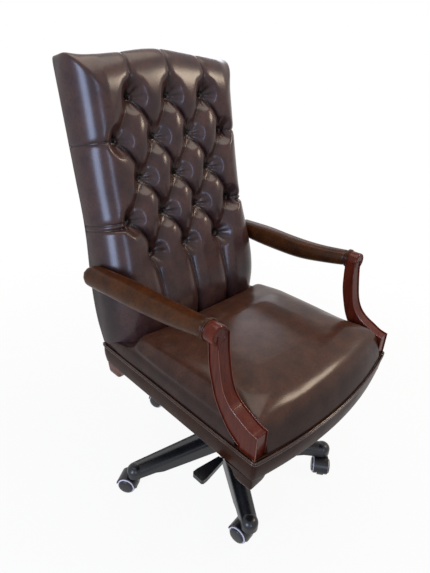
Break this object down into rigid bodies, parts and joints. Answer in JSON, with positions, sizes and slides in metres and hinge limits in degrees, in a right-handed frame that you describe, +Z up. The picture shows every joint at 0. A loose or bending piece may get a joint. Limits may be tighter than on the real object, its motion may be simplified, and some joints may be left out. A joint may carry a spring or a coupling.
{
  "type": "swivel office chair",
  "caption": "High-back swivel office chair with a deep-buttoned leather back, padded arms ending in turned wooden scrolls, a reclining seat, a gas lift and a star base on casters.",
  "frame": {"origin": "on the floor, on the axis of the gas lift", "axes": "+Z up; the sitter faces -Y; +X is the sitter's left, so the lever is on the sitter's right, at -X"},
  "size_m": [0.6895, 0.7702, 1.2117],
  "materials": {
    "leather": "glossy dark brown",
    "mahogany": "reddish mahogany, lacquered",
    "frame_wood": "bare plywood and softwood",
    "black_plastic": "black, glossy",
    "nylon": "off-white nylon",
    "black_steel": "black powder coat",
    "steel": "bright steel",
    "black_cloth": "black woven cambric"
  },
  "bodies": {
    "base": {"star_base": "black_plastic", "lift_tube": "black_steel", "lift_bush": "nylon", "thrust_bearing": "steel", "caster_stems": "steel"},
    "caster_1": {"caster_1_hood": "black_plastic", "caster_1_axle": "steel"},
    "caster_1_left": {"caster_1_wheel_left": "black_plastic"},
    "caster_1_right": {"caster_1_wheel_right": "black_plastic"},
    "caster_2": {"caster_2_hood": "black_plastic", "caster_2_axle": "steel"},
    "caster_2_left": {"caster_2_wheel_left": "black_plastic"},
    "caster_2_right": {"caster_2_wheel_right": "black_plastic"},
    "caster_3": {"caster_3_hood": "black_plastic", "caster_3_axle": "steel"},
    "caster_3_left": {"caster_3_wheel_left": "black_plastic"},
    "caster_3_right": {"caster_3_wheel_right": "black_plastic"},
    "caster_4": {"caster_4_hood": "black_plastic", "caster_4_axle": "steel"},
    "caster_4_left": {"caster_4_wheel_left": "black_plastic"},
    "caster_4_right": {"caster_4_wheel_right": "black_plastic"},
    "caster_5": {"caster_5_hood": "black_plastic", "caster_5_axle": "steel"},
    "caster_5_left": {"caster_5_wheel_left": "black_plastic"},
    "caster_5_right": {"caster_5_wheel_right": "black_plastic"},
    "spindle": {"piston_rod": "steel", "rod_clip": "steel"},
    "carriage": {"gas_cylinder": "steel", "mechanism_housing": "black_steel", "tilt_pin": "steel", "tension_spring": "steel"},
    "valve": {"valve_button": "nylon"},
    "lever_pivot": {"lever_shaft": "black_steel"},
    "lever": {"lever_rod": "steel", "lever_paddle": "black_plastic"},
    "knob": {"tension_screw": "steel", "tension_knob": "black_plastic"},
    "spring_follower": {"spring_seat": "steel"},
    "seat": {"arm_collars": "leather", "arm_core_left": "frame_wood", "arm_core_right": "frame_wood", "arm_pad_left": "leather", "arm_pad_right": "leather", "arm_post_left": "mahogany", "arm_post_right": "mahogany", "back_cushion": "leather", "back_frame": "frame_wood", "back_panel": "leather", "dust_cover": "black_cloth", "frame_bolts": "steel", "front_feet": "leather", "plate_bolts": "steel", "rail_cover": "leather", "rear_feet": "mahogany", "seat_board": "frame_wood", "seat_cushion": "leather", "seat_plate": "black_steel", "seat_rails": "frame_wood", "seat_welt": "leather", "tuft_buttons": "leather"}
  },
  "joints": [
    {"name": "caster_1_swivel", "type": "hinge", "parent": "base", "child": "caster_1", "pos_m": [0.30068, 0.10353, 0.06], "axis": [0, 0, 1], "continuous": true},
    {"name": "caster_1_left_roll", "type": "hinge", "parent": "caster_1", "child": "caster_1_left", "pos_m": [0.3082, 0.1242, 0.0275], "axis": [-0.9397, 0.342, 0], "continuous": true},
    {"name": "caster_1_right_roll", "type": "hinge", "parent": "caster_1", "child": "caster_1_right", "pos_m": [0.3082, 0.1242, 0.0275], "axis": [-0.9397, 0.342, 0], "continuous": true},
    {"name": "caster_2_swivel", "type": "hinge", "parent": "base", "child": "caster_2", "pos_m": [-0.00555, 0.31795, 0.06], "axis": [0, 0, 1], "continuous": true},
    {"name": "caster_2_left_roll", "type": "hinge", "parent": "caster_2", "child": "caster_2_left", "pos_m": [-0.01124, 0.3392, 0.0275], "axis": [-0.9659, -0.2588, 0], "continuous": true},
    {"name": "caster_2_right_roll", "type": "hinge", "parent": "caster_2", "child": "caster_2_right", "pos_m": [-0.01124, 0.3392, 0.0275], "axis": [-0.9659, -0.2588, 0], "continuous": true},
    {"name": "caster_3_swivel", "type": "hinge", "parent": "base", "child": "caster_3", "pos_m": [-0.30411, 0.09297, 0.06], "axis": [0, 0, 1], "continuous": true},
    {"name": "caster_3_left_roll", "type": "hinge", "parent": "caster_3", "child": "caster_3_left", "pos_m": [-0.31511, 0.11203, 0.0275], "axis": [-0.866, -0.5, 0], "continuous": true},
    {"name": "caster_3_right_roll", "type": "hinge", "parent": "caster_3", "child": "caster_3_right", "pos_m": [-0.31511, 0.11203, 0.0275], "axis": [-0.866, -0.5, 0], "continuous": true},
    {"name": "caster_4_swivel", "type": "hinge", "parent": "base", "child": "caster_4", "pos_m": [-0.1824, -0.26049, 0.06], "axis": [0, 0, 1], "continuous": true},
    {"name": "caster_4_left_roll", "type": "hinge", "parent": "caster_4", "child": "caster_4_left", "pos_m": [-0.18432, -0.23857, 0.0275], "axis": [-0.9962, -0.0872, 0], "continuous": true},
    {"name": "caster_4_right_roll", "type": "hinge", "parent": "caster_4", "child": "caster_4_right", "pos_m": [-0.18432, -0.23857, 0.0275], "axis": [-0.9962, -0.0872, 0], "continuous": true},
    {"name": "caster_5_swivel", "type": "hinge", "parent": "base", "child": "caster_5", "pos_m": [0.19138, -0.25397, 0.06], "axis": [0, 0, 1], "continuous": true},
    {"name": "caster_5_left_roll", "type": "hinge", "parent": "caster_5", "child": "caster_5_left", "pos_m": [0.17336, -0.26659, 0.0275], "axis": [0.5736, -0.8192, 0], "continuous": true},
    {"name": "caster_5_right_roll", "type": "hinge", "parent": "caster_5", "child": "caster_5_right", "pos_m": [0.17336, -0.26659, 0.0275], "axis": [0.5736, -0.8192, 0], "continuous": true},
    {"name": "seat_swivel", "type": "hinge", "parent": "base", "child": "spindle", "pos_m": [0, 0, 0.07], "axis": [0, 0, 1], "continuous": true},
    {"name": "seat_lift", "type": "slide", "parent": "spindle", "child": "carriage", "axis": [0, 0, 1], "range_m": [-0.05, 0.04]},
    {"name": "seat_tilt", "type": "hinge", "parent": "carriage", "child": "seat", "pos_m": [0, -0.15, 0.366], "axis": [-1, 0, 0], "range_deg": [0, 12], "stiffness_Nm_per_rad": 300, "springref_deg": -17.19, "deforming": ["tension_spring"]},
    {"name": "lever_lift", "type": "hinge", "parent": "carriage", "child": "lever_pivot", "pos_m": [-0.038, 0, 0.34], "axis": [0, 1, 0], "range_deg": [0, 6], "stiffness_Nm_per_rad": 2, "springref_deg": -8.59},
    {"name": "valve_press", "type": "slide", "parent": "carriage", "child": "valve", "axis": [0, 0, -1], "range_m": [0, 0.0046]},
    {"name": "lever_pull", "type": "slide", "parent": "lever_pivot", "child": "lever", "axis": [-1, 0, 0], "range_m": [0, 0.012]},
    {"name": "knob_turn", "type": "hinge", "parent": "carriage", "child": "knob", "pos_m": [0, -0.095, 0.29], "axis": [0, 0, 1], "range_deg": [0, 1440]},
    {"name": "spring_preload", "type": "slide", "parent": "carriage", "child": "spring_follower", "axis": [0, 0, 1], "range_m": [0, 0.006], "deforming": ["tension_spring"]}
  ],
  "couplings": [
    {"joint": "valve_press", "follows": "lever_lift", "m_per_rad": 0.043},
    {"joint": "knob_turn", "follows": "spring_preload", "rad_per_m": 4188.7}
  ]
}
